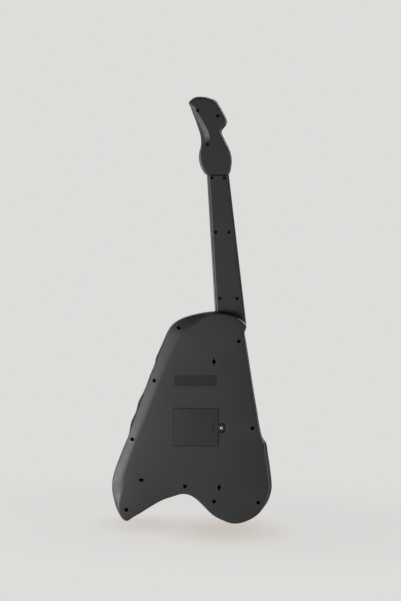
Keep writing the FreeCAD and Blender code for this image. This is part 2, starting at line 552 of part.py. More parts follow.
# ---------------------------------------------------------------- neck furniture
fb = prism(neck_poly(0.6, 3.5, 211.0), Y_FRETBOARD, Y_FACE)
fb = fb.makeFillet(0.8, [e for e in edges_at(fb, Y_FRETBOARD) if e.Length > 150])
fb = fb.cut([rrect(u, v, KEY_W + 0.6, KEY_H + 0.6, -20.0, -10.0, NA, 1.2) for u, v in key_c])
fb = fb.cut(clip.cut(slab(inset(BODY, bp, 0.6), bp, -25.0, 30.0)))
dots = []
for n in (7, 9, 12, 15):
    s = 0.5 * (fret_s(n - 1) + fret_s(n))
    for a in ((-6.5, 6.5) if n == 12 else (0.0,)):
        dots.append(on_axis(s, a))
DOT_R = 2.6
fb = fb.cut([cyl(u, v, -20.0, Y_FRETBOARD + 0.8, DOT_R) for u, v in dots])
save("fretboard", fb)
save("fret_dots", Part.makeCompound([cyl(u, v, Y_FRETBOARD, Y_FRETBOARD + 0.8, DOT_R) for u, v in dots]))


def half_width(s):
    return 15.2 + (21.9 - 15.2) * s / 205.0 - 0.9


bars = []
for n in range(1, N_FRETS + 1):
    s = fret_s(n)
    if s < 206.0:
        u, v = on_axis(s)
        b = rrect(u, v, 2 * half_width(s), 1.7, Y_FRETBOARD - 0.9, Y_FRETBOARD, NA)
        b = b.makeFillet(0.55, [e for e in edges_at(b, Y_FRETBOARD - 0.9) if e.Length > 5])
        bars.append(b)
save("frets", Part.makeCompound(bars))
u, v = on_axis(1.75)
save("nut", rrect(u, v, 29.6, 3.4, -17.0, Y_FACE, NA, 0.5))
for i, (u, v) in enumerate(key_c):
    cap = rrect(u, v, KEY_W, KEY_H, -18.0, -12.3, NA, 1.6)
    cap = cap.makeFillet(1.0, edges_at(cap, -18.0))
    key = fuse(cap, rrect(u, v, 9.2, 7.2, -12.4, -3.6, NA, 0.6), rrect(u, v, 9.2, 10.0, -8.7, -7.7, NA, 0.5))
    save("fret_key_%d" % (i + 1), key)
u, v = on_axis(70.0)
save("neck_pcb", rrect(u, v, 10.0, 116.0, -1.2, 0.4, NA, 0.6))
pad = rrect(*on_axis(58.5), 9.0, 78.0, -1.8, -1.2, NA, 0.6)
key_pad = fuse(pad, *[cyl(a, b, -2.35, -1.7, 3.2) for a, b in key_c])

hplate = slab(inset(HEAD, hp, 4.2), hp, -11.0, Y_HEAD_FACE).cut(prism(neck_poly(-4.0, -2.2, 40.0), -20.0, 5.0))
save("headstock_plate", hplate)
TUNERS = [(36.0, 499.0), (36.5, 514.5), (34.0, 530.0), (30.5, 546.0), (28.0, 561.0), (25.0, 577.0)]
posts_t = []
for u, v in TUNERS:
    base = cyl(u, v, -12.2, -11.0, 4.6)
    base = fillet_at(base, -12.2, 0.5)
    stud = cyl(u, v, -18.0, -12.2, 2.7)
    stud = fillet_at(stud, -18.0, 0.8)
    posts_t.append(fuse(base, stud).cut(rrect(u, v, 9.0, 1.1, -18.5, -16.4, -68.0)))
save("tuner_posts", Part.makeCompound(posts_t))

# ---------------------------------------------------------------- speaker
su, sv = SPEAKER


def revolved(u, v, prof):
    """Solid turned about the depth axis through (u, v); prof is a closed list of (radius, depth)."""
    pts = [V(r, y + DY, 0) for r, y in prof]
    f = Part.Face(Part.makePolygon(pts + [pts[0]]))
    sh = f.revolve(V(0, 0, 0), V(0, 1, 0), 360)
    sh.translate(V(U0 - u, 0, v))
    return sh


g = revolved(su, sv, [(0, -14.9), (25.4, -14.9), (26.4, -14.2), (26.4, -11.0), (24.2, -11.0), (24.2, -13.3), (0, -13.3)])
slots = []
for k in range(-4, 5):
    off = 5.0 * k
    half = math.sqrt(22.0 ** 2 - off ** 2)
    du, dv = rot(0.0, off, -24.4)
    slots.append(rrect(su + du, sv + dv, 2 * half, 2.3, -20.0, -12.0, -24.4, 1.1))
save("speaker_grille", g.cut(slots))
fr = revolved(su, sv, [(23.6, -8.6), (27.6, -8.6), (27.6, -7.2), (25.2, -7.2), (12.0, 3.2), (12.0, 4.0), (0, 4.0), (0, 3.0), (11.0, 3.0), (11.0, 2.4), (23.6, -7.6)])
fr = fr.fuse(rrect(su, sv + 16.4, 12.0, 4.0, 0.2, 2.5, 0, 0.4))
save("speaker_frame", fr)
save("speaker_cone", revolved(su, sv, [(23.55, -8.2), (22.0, -8.5), (20.6, -7.8), (7.0, -0.6), (5.5, -2.6), (3.0, -3.4), (0, -3.6), (0, -3.1),
                                       (2.8, -2.9), (5.2, -2.1), (6.8, 0.2), (20.8, -7.2), (22.0, -7.9), (23.55, -7.7)]))
save("speaker_magnet", fuse(cyl(su, sv, 4.0, 10.5, 13.0), cyl(su, sv, 10.5, 11.3, 11.0)))

# ---------------------------------------------------------------- circuit board and buttons
board = rrect(PCB[0], PCB[1], PCB_W, PCB_H, PCB_Y0, PCB_Y1, PCB_DEG, 1.5)
board = board.cut([cyl(u, v, -3.0, 1.0, 1.1) for u, v in PCB_POSTS])
save("main_pcb", board)
comp = []
u, v = pcb_pt(-4, 12)
blob = cyl(u, v, PCB_Y1, PCB_Y1 + 1.5, 7.5)
comp.append(fillet_at(blob, PCB_Y1 + 1.5, 1.2))
for a, b, w, h, t in ((12, 38, 12, 5, 4.5), (-20, 20, 9, 5, 1.6), (-22, 2, 5, 3, 1.2), (-22, -6, 5, 3, 1.2), (20, 12, 3.2, 1.6, 0.9),
                      (20, 6, 3.2, 1.6, 0.9), (-10, -14, 3.2, 1.6, 0.9), (-4, -14, 3.2, 1.6, 0.9), (10, -22, 11, 5, 4.0)):
    u, v = pcb_pt(a, b)
    comp.append(rrect(u, v, w, h, PCB_Y1, PCB_Y1 + t, PCB_DEG, 0.3))
for a, b, r, h in ((8, 24, 3.1, 6.5), (-14, -28, 2.5, 5.5), (0, -34, 2.5, 5.5), (20, 24, 2.0, 4.5)):
    u, v = pcb_pt(a, b)
    c = cyl(u, v, PCB_Y1, PCB_Y1 + h, r)
    comp.append(fillet_at(c, PCB_Y1 + h, 0.4))
comp += [fillet_at(cyl(u, v, -5.4, PCB_Y0, 1.5), -5.4, 1.2) for u, v in LEDS]
save("pcb_components", Part.makeCompound(comp))
lenses = []
for u, v in LEDS:
    lens = cyl(u, v, -15.2, -8.6, LED_R)
    lens = fillet_at(lens, -15.2, 0.7)
    lenses.append(fuse(lens, cyl(u, v, -8.6, -7.8, 3.2)))
save("led_lenses", Part.makeCompound(lenses))
pads = [cyl(u, v, -3.55, PCB_Y0, 4.0) for u, v in BUTTONS] + [cyl(PLAY[0], PLAY[1], -3.55, PCB_Y0, 6.0)]
save("contact_pads", Part.makeCompound([key_pad] + [fillet_at(p, -3.55, 0.7) for p in pads]))
for i, (u, v) in enumerate(BUTTONS + [PLAY]):
    r = BUTTON_R if i < 4 else PLAY_R
    cap = cyl(u, v, -17.4, -8.5, r)
    cap = fillet_at(cap, -17.4, 1.0)
    b = fuse(cap, cyl(u, v, -8.5, -7.3, r + 1.2), cyl(u, v, -7.3, -5.0, 3.0 if i < 4 else 5.0))
    save("mode_button_%d" % (i + 1) if i < 4 else "play_button", b)

# ---------------------------------------------------------------- knobs and switch
pots = []
for i, (u, v) in enumerate(KNOBS):
    can = fuse(cyl(u, v, -8.6, -2.6, 8.0), cyl(u, v, Y_PLATE, -8.6, 4.0))
    du, dv = rot(0.0, 8.5, 20.0)
    lugs = [rrect(u + du + k * 3.0, v + dv, 1.4, 5.0, -6.0, -5.4, 0) for k in (-1, 0, 1)]
    pots.append(fuse(can, *lugs).cut([cyl(u, v, -20.0, -3.9, 3.05)]))
    knob = cyl(u, v, -25.0, -14.9, 10.5)
    knob = fillet_at(knob, -25.0, 1.2)
    skirt = cone(u, v, -17.0, -14.9, 10.9, 12.0)
    knob = knob.fuse(skirt)
    notches = [cyl(u + 11.4 * math.cos(2 * math.pi * k / 14), v + 11.4 * math.sin(2 * math.pi * k / 14), -26.0, -17.6, 1.5) for k in range(14)]
    knob = knob.cut(notches + [rrect(u, v + 5.6, 1.6, 6.4, -25.5, -24.4, 0, 0.6)])
    knob = fuse(knob, cyl(u, v, -15.5, -4.0, 3.0))
    save("volume_knob" if i == 0 else "tone_knob", knob)
save("potentiometers", Part.makeCompound(pots))
wu, wv = SWITCH
off = wu - SWITCH_TRAVEL / 2
cap = rrect(off, wv, 6.0, 4.2, -16.6, -8.3, 0, 0.5)
ribs = [rrect(off + k, wv, 0.5, 5.0, -17.0, -16.1) for k in (-1.6, 0.0, 1.6)]
save("power_switch_slider", fuse(cap, rrect(off, wv, 2.4, 2.0, -8.3, -5.0)).cut(ribs))
sb = rrect(wu, wv, 20.0, 8.6, -8.6, -2.4, 0, 0.4).cut(rrect(wu, wv, 12.6, 4.8, -9.0, -4.6, 0, 0.3))
save("power_switch_body", sb)

# ---------------------------------------------------------------- strings, pickups, bridge
def sax(v, a=0.0, b=0.0):
    """Point of the strings' axis at height v, a across it and b along it towards the neck."""
    du, dv = rot(a, b, NA)
    return axis_u(v) + du, v + dv


STRING_Y = -19.6
an = rrect(*sax(ANCHOR_V), 34.0, 6.0, -21.4, Y_PLATE, NA, 0.8)
an = an.makeFillet(0.8, [e for e in edges_at(an, -21.4) if e.Length > 2])
save("string_anchor", an)
base = rrect(*sax(BRIDGE_V), 40.0, 18.0, -17.0, Y_PLATE, NA, 2.0)
rail = rrect(*sax(BRIDGE_V, 0, 6.5), 36.0, 4.0, -21.4, -16.9, NA, 0.6)
save("bridge", fuse(base, rail))
save("bridge_saddles", Part.makeCompound([rrect(*sax(BRIDGE_V, STRING_PITCH * (k - 2.5), -0.5), 3.9, 10.0, -20.6, -17.0, NA, 0.5) for k in range(6)]))
strings = []
for k in range(6):
    a = STRING_PITCH * (k - 2.5)
    p0 = sax(ANCHOR_V, a, -3.0)
    p1 = sax(BRIDGE_V, a, 8.5)
    q0, q1 = P(p0[0], p0[1], STRING_Y), P(p1[0], p1[1], STRING_Y)
    strings.append(Part.makeCylinder(STRING_R[k], (q1 - q0).Length, q0, q1 - q0))
save("strings", Part.makeCompound(strings))
poles, covers = [], []
for i, pv in enumerate(PICKUPS):
    body = rrect(*sax(pv), 36.0, 13.0, -18.0, Y_PLATE, NA, 3.0)
    body = body.makeFillet(1.0, edges_at(body, -18.0))
    poles += [fillet_at(cyl(*sax(pv, STRING_PITCH * (k - 2.5)), -18.5, -17.2, 1.5), -18.5, 0.35) for k in range(6)]
    body = body.cut([cyl(*sax(pv, STRING_PITCH * (k - 2.5)), -19.0, -17.2, 1.5) for k in range(6)])
    covers.append(body)
save("pickup_covers", Part.makeCompound(covers))
save("pickup_poles", Part.makeCompound(poles))

# ---------------------------------------------------------------- whammy arm
HW = sax(WHAMMY_V, WHAMMY_OFF)


def wp(a, b):
    du, dv = rot(a, b, NA)
    return HW[0] + du, HW[1] + dv


def across(a0, a1, y, r, b=0.0):
    """Cylinder along the arm's hinge line."""
    p, q = wp(a0, b), wp(a1, b)
    p, q = P(p[0], p[1], y), P(q[0], q[1], y)
    return Part.makeCylinder(r, (q - p).Length, p, q - p)


foot = rrect(*wp(0, 0), 18.0, 22.0, -16.6, Y_PLATE, NA, 2.0)
cheeks = [rrect(*wp(a, 0), 2.4, 9.0, WHAMMY_Y, -16.5, NA).fuse(across(a - 1.2, a + 1.2, WHAMMY_Y, 4.5)) for a in (-7.0, 7.0)]
bracket = fuse(foot, *cheeks).cut([across(-12, 12, WHAMMY_Y, 1.5), rrect(*wp(0, 0), 11.6, 40.0, -30.0, -16.6, NA)])
save("whammy_bracket", bracket)
save("whammy_pin", fuse(across(-8.6, 8.6, WHAMMY_Y, 1.5), across(-9.4, -8.2, WHAMMY_Y, 2.4), across(8.2, 9.4, WHAMMY_Y, 2.4)))
hub = across(-5.6, 1.6, WHAMMY_Y, 3.9)
ab = [(*wp(-2.0, 2.0), WHAMMY_Y), (*wp(-2.0, 14.0), WHAMMY_Y), (*wp(-2.0, 34.0), -28.4), (*wp(-2.0, ARM_LEN - 24), -29.2)]
rod = tube(ab, 2.2)
g0, g1 = wp(-2.0, ARM_LEN - 26), wp(-2.0, ARM_LEN)
q0, q1 = P(g0[0], g0[1], -29.2), P(g1[0], g1[1], -29.2)
grip = Part.makeCylinder(3.8, (q1 - q0).Length, q0, q1 - q0)
grip = grip.makeFillet(2.2, [e for e in grip.Edges if isinstance(e.Curve, Part.Circle)])
arm = fuse(hub, rod, grip).cut(across(-12, 12, WHAMMY_Y, 1.55))
save("whammy_arm", arm)
coil = across(2.2, 5.4, WHAMMY_Y, 3.3).cut(across(0, 8, WHAMMY_Y, 1.9))
leg = Part.makeCylinder(0.5, 4.9, P(*wp(4.6, -2.6), WHAMMY_Y), V(0, 1, 0))
save("whammy_spring", coil.fuse(leg))

# ---------------------------------------------------------------- batteries
def db(a, b, w, h, y0, y1, r=0.0):
    return rrect(*door_pt(a, b), w, h, y0, y1, DOOR_TILT, r)


def dcyl(a0, a1, b, y, r0, r1=None):
    p, q = door_pt(a0, b), door_pt(a1, b)
    p, q = P(p[0], p[1], y), P(q[0], q[1], y)
    d = q - p
    return Part.makeCylinder(r0, d.Length, p, d) if r1 is None else Part.makeCone(r0, r1, d.Length, p, d)


BOX_Y0, BOX_Y1, CELL_Y, CELL_PITCH = 9.0, 24.2, 17.6, 15.8
box = db(0, 0, 61.4, 52.6, BOX_Y0, BOX_Y1, 1.0).cut(db(0, 0, 58.6, 49.8, BOX_Y0 + 1.4, 30.0, 0.6))
fences = [db(s * 14.0, b, 14.0, 0.9, BOX_Y0 + 1.3, 13.4) for s in (-1, 1) for b in (-7.9, 7.9)]
tab_slots = [db(-29.05, -CELL_PITCH, 0.5, 3.0, 5.0, 12.0), db(29.05, CELL_PITCH, 0.5, 3.0, 5.0, 12.0)]
save("battery_box", fuse(box, *fences).cut(tab_slots))
cells, springs = [], []
for i, b in enumerate((-CELL_PITCH, 0.0, CELL_PITCH)):
    s = 1 if i != 1 else -1
    cell = dcyl(-21.4 * s, 27.8 * s, b, CELL_Y, 7.1)
    cell = cell.makeFillet(0.6, [e for e in cell.Edges if isinstance(e.Curve, Part.Circle)])
    cells.append(cell.fuse(dcyl(27.8 * s, 28.8 * s, b, CELL_Y, 2.7)))
    springs.append(dcyl(-28.8 * s, -21.4 * s, b, CELL_Y, 4.6, 2.6))
save("batteries", Part.makeCompound(cells))
plates = [fuse(db(-29.05, -CELL_PITCH, 0.5, 12.0, 11.5, 23.4), db(-29.05, -CELL_PITCH, 0.5, 3.0, 7.5, 12.0)),
          db(-29.05, CELL_PITCH / 2, 0.5, 27.8, 11.5, 23.4),
          db(29.05, -CELL_PITCH / 2, 0.5, 27.8, 11.5, 23.4),
          fuse(db(29.05, CELL_PITCH, 0.5, 12.0, 11.5, 23.4), db(29.05, CELL_PITCH, 0.5, 3.0, 7.5, 12.0))]
save("battery_contacts", Part.makeCompound(plates + springs))
door = fillet_at(db(0, 0, 61.7, 52.8, 26.8, Y_BACK, 1.0), Y_BACK, 0.45).fuse(
    fillet_at(cyl(ds[0], ds[1], 26.8, Y_BACK, 5.2), Y_BACK, 0.45))
tabs = []
for b in TABS:
    tabs += [db(-31.35, b, 5.1, 6.8, 25.4, 26.4), db(-29.8, b, 2.0, 6.8, 25.4, 27.0)]
door = fuse(door, *tabs).cut([cyl(ds[0], ds[1], 27.5, 30.0, 3.3), cyl(ds[0], ds[1], 26.0, 28.0, 1.35),
                              db(24.0, 0, 3.0, 16.0, 28.4, 30.0, 0.8)])
save("battery_door", door)
head = fillet_at(cyl(ds[0], ds[1], 27.5, 28.9, 2.4), 28.9, 0.6)
shank = fuse(cyl(ds[0], ds[1], 20.9, 27.5, 1.3), cone(ds[0], ds[1], 20.0, 20.9, 0.5, 1.3))
save("battery_door_screw", fuse(head, shank).cut(cross_recess(ds[0], ds[1], 28.9, 0.9, 3.0, 35.0)))

# ---------------------------------------------------------------- wires
def drop_wire(p0, y0, p1, y1, y_run, r=0.7):
    return tube([(p0[0], p0[1], y0), (p0[0], p0[1], y_run), (p1[0], p1[1], y_run), (p1[0], p1[1], y1)], r)


save("wire_battery_red", drop_wire(door_pt(-29.05, -CELL_PITCH), 7.5, pcb_pt(5, -40), PCB_Y1, 3.5))
save("wire_battery_black", drop_wire(door_pt(29.05, CELL_PITCH), 7.5, (11.9, 157.2), PCB_Y1, 3.5))
save("wires_signal", Part.makeCompound([drop_wire((su - 2.5, sv + 16.4), 2.5, (-42.0, 149.5), PCB_Y1, 5.5, 0.6),
                                         drop_wire((su + 2.5, sv + 16.4), 2.5, (-37.5, 151.5), PCB_Y1, 5.5, 0.6),
                                        drop_wire(KNOBS[1], -2.6, (-2.0, 130.0), PCB_Y1, 4.5, 0.6),
                                          drop_wire(KNOBS[0], -2.6, (6.0, 139.0), PCB_Y1, 4.5, 0.6),
                                          drop_wire(SWITCH, -2.4, (16.6, 162.7), PCB_Y1, 6.4, 0.6)]))


def strip(line, w, y0, y1):
    """Flat cable of width w along a line of plan points, mitred at its bends."""
    left, right = [], []
    for i, p in enumerate(line):
        dirs = []
        if i > 0:
            dirs.append((p[0] - line[i - 1][0], p[1] - line[i - 1][1]))
        if i < len(line) - 1:
            dirs.append((line[i + 1][0] - p[0], line[i + 1][1] - p[1]))
        dirs = [(a / math.hypot(a, b), b / math.hypot(a, b)) for a, b in dirs]
        tx, tz = sum(d[0] for d in dirs), sum(d[1] for d in dirs)
        l = math.hypot(tx, tz)
        tx, tz = tx / l, tz / l
        k = 0.5 * w / (tx * dirs[0][0] + tz * dirs[0][1])
        left.append((p[0] - tz * k, p[1] + tx * k))
        right.append((p[0] + tz * k, p[1] - tx * k))
    return prism(left + right[::-1], y0, y1)


save("neck_ribbon", strip([on_axis(128.0), on_axis(225.0), pcb_pt(10, 66), pcb_pt(10, 48)], 8.0, -0.95, -0.45))
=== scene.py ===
import bpy, bmesh, math
from mathutils import Vector, Matrix


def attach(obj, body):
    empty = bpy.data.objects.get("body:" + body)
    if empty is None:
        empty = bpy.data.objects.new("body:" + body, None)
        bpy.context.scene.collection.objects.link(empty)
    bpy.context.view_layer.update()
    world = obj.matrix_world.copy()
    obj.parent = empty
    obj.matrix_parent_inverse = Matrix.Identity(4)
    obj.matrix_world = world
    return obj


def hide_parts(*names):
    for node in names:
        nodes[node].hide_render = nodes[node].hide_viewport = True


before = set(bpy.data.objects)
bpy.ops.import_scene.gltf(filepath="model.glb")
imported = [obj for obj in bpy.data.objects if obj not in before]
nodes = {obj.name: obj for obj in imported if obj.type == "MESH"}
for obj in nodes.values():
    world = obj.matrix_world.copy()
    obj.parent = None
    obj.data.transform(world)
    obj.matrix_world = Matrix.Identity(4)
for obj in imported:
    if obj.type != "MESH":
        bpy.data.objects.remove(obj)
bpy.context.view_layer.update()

# plan coordinates of the model: u to the right as seen from behind, v up, y depth, in millimetres
U0, DY = 15.4, 2.0
NA = math.radians(6.6)
DT = math.radians(1.44)


def P(u, v, y):
    return Vector(((U0 - u) / 1000.0, (y + DY) / 1000.0, v / 1000.0))


def rot(a, b, r):
    return a * math.cos(r) - b * math.sin(r), a * math.sin(r) + b * math.cos(r)


def axis_u(v):
    return 41.1 + 0.1147 * (481.0 - v)


def sax(v, a=0.0, b=0.0):
    du, dv = rot(a, b, NA)
    return axis_u(v) + du, v + dv


def door_pt(a, b):
    du, dv = rot(a, b, DT)
    return 19.7 + du, 134.9 + dv


# ---------------------------------------------------------------- materials
class Mat:
    """Small helper for building a node material."""

    def __init__(self, name, rough=0.5, metallic=0.0, spec=0.5, coat=0.0, coat_rough=0.1):
        self.m = bpy.data.materials.new(name)
        self.m.use_nodes = True
        self.t = self.m.node_tree
        self.bsdf = self.t.nodes["Principled BSDF"]
        self.bsdf.inputs["Roughness"].default_value = rough
        self.bsdf.inputs["Metallic"].default_value = metallic
        self.bsdf.inputs["Specular IOR Level"].default_value = spec
        self.bsdf.inputs["Coat Weight"].default_value = coat
        self.bsdf.inputs["Coat Roughness"].default_value = coat_rough
        self.co = self.node("ShaderNodeTexCoord").outputs["Object"]

    def node(self, kind, **props):
        n = self.t.nodes.new(kind)
        for k, v in props.items():
            setattr(n, k, v)
        return n

    def link(self, a, b):
        self.t.links.new(a, b)

    def mapped(self, scale, turn=(0, 0, 0)):
        n = self.node("ShaderNodeMapping")
        n.inputs["Scale"].default_value = scale
        n.inputs["Rotation"].default_value = turn
        self.link(self.co, n.inputs["Vector"])
        return n.outputs["Vector"]

    def noise(self, scale, detail=3.0, rough=0.5, vec=None, distortion=0.0):
        n = self.node("ShaderNodeTexNoise")
        n.inputs["Scale"].default_value = scale
        n.inputs["Detail"].default_value = detail
        n.inputs["Roughness"].default_value = rough
        n.inputs["Distortion"].default_value = distortion
        self.link(vec or self.co, n.inputs["Vector"])
        return n.outputs["Fac"]

    def ramp(self, fac, *stops):
        n = self.node("ShaderNodeValToRGB")
        e = n.color_ramp.elements
        while len(e) < len(stops):
            e.new(0.5)
        for el, (pos, col) in zip(e, stops):
            el.position = pos
            el.color = (*col, 1.0) if hasattr(col, "__len__") else (col, col, col, 1.0)
        self.link(fac, n.inputs["Fac"])
        return n.outputs["Color"]

    def mix(self, fac, a, b, kind="MIX"):
        n = self.node("ShaderNodeMix", data_type="RGBA", blend_type=kind)
        for sock, val in ((n.inputs["Factor"], fac), (n.inputs["A"], a), (n.inputs["B"], b)):
            sock = [s for s in n.inputs if s.name == sock.name and s.type == ("VALUE" if sock.name == "Factor" else "RGBA")][0]
            if isinstance(val, bpy.types.NodeSocket):
                self.link(val, sock)
            elif hasattr(val, "__len__"):
                sock.default_value = (*val, 1.0)
            else:
                sock.default_value = val
        return [o for o in n.outputs if o.type == "RGBA"][0]

    def base(self, out):
        self.link(out, self.bsdf.inputs["Base Color"])

    def rough(self, out):
        self.link(out, self.bsdf.inputs["Roughness"])

    def bump(self, *layers):
        """layers of (height output, strength, distance in metres)."""
        last = None
        for h, strength, dist in layers:
            n = self.node("ShaderNodeBump")
            n.inputs["Strength"].default_value = strength
            n.inputs["Distance"].default_value = dist
            self.link(h, n.inputs["Height"])
            if last is not None:
                self.link(last, n.inputs["Normal"])
            last = n.outputs["Normal"]
        self.link(last, self.bsdf.inputs["Normal"])


def shade(c, k):
    return tuple(min(1.0, x * k) for x in c)


def moulded(name, color, rough=(0.45, 0.56), grain=1400.0, grain_h=0.00006, grain_s=0.35, spec=0.5, coat=0.0, vary=0.10, scuffs=0.0):
    """Injection-moulded plastic: spark-eroded grain, faint mottling and rubbed patches."""
    m = Mat(name, spec=spec, coat=coat, coat_rough=0.08)
    patch = m.noise(9.0, 4.0, 0.55)
    fine = m.noise(160.0, 3.0, 0.6)
    g = m.noise(grain, 2.0, 0.6)
    col = m.mix(patch, shade(color, 1 - vary), shade(color, 1 + vary))
    col = m.mix(m.ramp(fine, (0.35, 0.0), (0.75, 0.35)), col, shade(color, 1.0 + vary * 1.6))
    if scuffs:
        sc = m.noise(1.0, 6.0, 0.7, m.mapped((40.0, 40.0, 420.0), (0.3, 0.9, 0.4)), 0.6)
        line = m.ramp(sc, (0.60, 0.0), (0.66, 1.0), (0.70, 0.0))
        keep = m.ramp(m.noise(5.0, 2.0), (0.50, 0.0), (0.66, scuffs))
        col = m.mix(m.mix(1.0, line, keep, "MULTIPLY"), col, shade(color, 2.2))
    m.base(col)
    r = m.mix(m.ramp(patch, (0.3, 0.0), (0.7, 1.0)), (rough[0],) * 3, (rough[1],) * 3)
    r = m.mix(0.35, r, m.ramp(fine, (0.3, rough[0] * 0.9), (0.8, rough[1] * 1.12)))
    m.rough(r)
    m.bump((m.noise(22.0, 2.0), 0.05, 0.0006), (g, grain_s, grain_h))
    return m.m


def metal(name, color, rough=(0.22, 0.36), brushed=(900.0, 900.0, 40.0), scratch=0.25):
    m = Mat(name, metallic=1.0)
    streak = m.noise(1.0, 4.0, 0.65, m.mapped(brushed))
    patch = m.noise(60.0, 3.0)
    m.base(m.mix(patch, shade(color, 0.86), shade(color, 1.06)))
    m.rough(m.mix(streak, (rough[0],) * 3, (rough[1],) * 3))
    m.bump((streak, scratch, 0.00002))
    return m.m


def painted_silver(name):
    m = Mat(name, metallic=0.55, spec=0.5, coat=0.25, coat_rough=0.12)
    flake = m.node("ShaderNodeTexVoronoi")
    flake.inputs["Scale"].default_value = 5200.0
    m.link(m.co, flake.inputs["Vector"])
    patch = m.noise(14.0, 3.0)
    col = m.mix(patch, (0.42, 0.43, 0.45), (0.55, 0.56, 0.58))
    m.base(m.mix(m.ramp(flake.outputs["Distance"], (0.05, 0.45), (0.5, 0.0)), col, (0.80, 0.81, 0.83)))
    m.rough(m.mix(m.noise(300.0, 2.0), (0.26,) * 3, (0.40,) * 3))
    m.bump((m.noise(700.0, 2.0), 0.15, 0.00003))
    return m.m


def wood_print(name):
    """Dark fretboard, moulded and printed with a close straight grain along the neck."""
    m = Mat(name, spec=0.4)
    vec = m.mapped((260.0, 60.0, 7.0), (0.0, NA, 0.0))
    g = m.noise(1.0, 7.0, 0.62, vec, 0.5)
    pores = m.noise(1.0, 3.0, 0.7, m.mapped((1500.0, 300.0, 60.0), (0.0, NA, 0.0)))
    col = m.ramp(g, (0.30, (0.020, 0.010, 0.007)), (0.48, (0.052, 0.026, 0.016)), (0.62, (0.085, 0.043, 0.025)), (0.75, (0.040, 0.020, 0.012)))
    m.base(m.mix(m.ramp(pores, (0.36, 0.7), (0.48, 0.0)), col, (0.012, 0.007, 0.005)))
    m.rough(m.mix(g, (0.34,) * 3, (0.52,) * 3))
    m.bump((g, 0.18, 0.00012), (pores, 0.35, 0.00006))
    return m.m


def lens(name, color):
    m = Mat(name, rough=0.06, spec=0.5, coat=0.3)
    m.bsdf.inputs["Transmission Weight"].default_value = 0.55
    m.base(m.mix(m.noise(240.0, 2.0), shade(color, 0.8), shade(color, 1.15)))
    w = m.node("ShaderNodeTexVoronoi")
    w.inputs["Scale"].default_value = 1400.0
    m.link(m.co, w.inputs["Vector"])
    m.bump((w.outputs["Distance"], 0.3, 0.00008))
    return m.m


def board(name):
    m = Mat(name, spec=0.5, coat=0.4, coat_rough=0.2)
    turn = (0.0, math.radians(-24.4), 0.0)
    br = m.node("ShaderNodeTexBrick")
    br.inputs["Scale"].default_value = 120.0
    br.inputs["Mortar Size"].default_value = 0.06
    v = m.node("ShaderNodeMapping")
    v.inputs["Rotation"].default_value = (math.radians(90), 0.0, math.radians(24.4))
    m.link(m.co, v.inputs["Vector"])
    m.link(v.outputs["Vector"], br.inputs["Vector"])
    col = m.mix(m.noise(30.0), (0.018, 0.10, 0.045), (0.026, 0.15, 0.065))
    m.base(m.mix(m.ramp(br.outputs["Fac"], (0.2, 0.0), (0.8, 0.8)), col, (0.05, 0.24, 0.10)))
    m.rough(m.mix(m.noise(200.0), (0.28,) * 3, (0.42,) * 3))
    m.bump((br.outputs["Fac"], 0.4, 0.00005))
    return m.m


def rubber(name, color):
    m = Mat(name, spec=0.35)
    m.bsdf.inputs["Sheen Weight"].default_value = 0.15
    m.base(m.mix(m.noise(80.0, 4.0), shade(color, 0.85), shade(color, 1.1)))
    m.rough(m.mix(m.noise(300.0), (0.62,) * 3, (0.78,) * 3))
    m.bump((m.noise(1800.0), 0.3, 0.00004))
    return m.m


def paper(name):
    m = Mat(name, spec=0.2)
    f = m.noise(900.0, 6.0, 0.75)
    m.base(m.mix(f, (0.012, 0.012, 0.012), (0.05, 0.048, 0.045)))
    m.rough(m.mix(f, (0.8,) * 3, (0.95,) * 3))
    m.bump((f, 0.8, 0.00015))
    return m.m


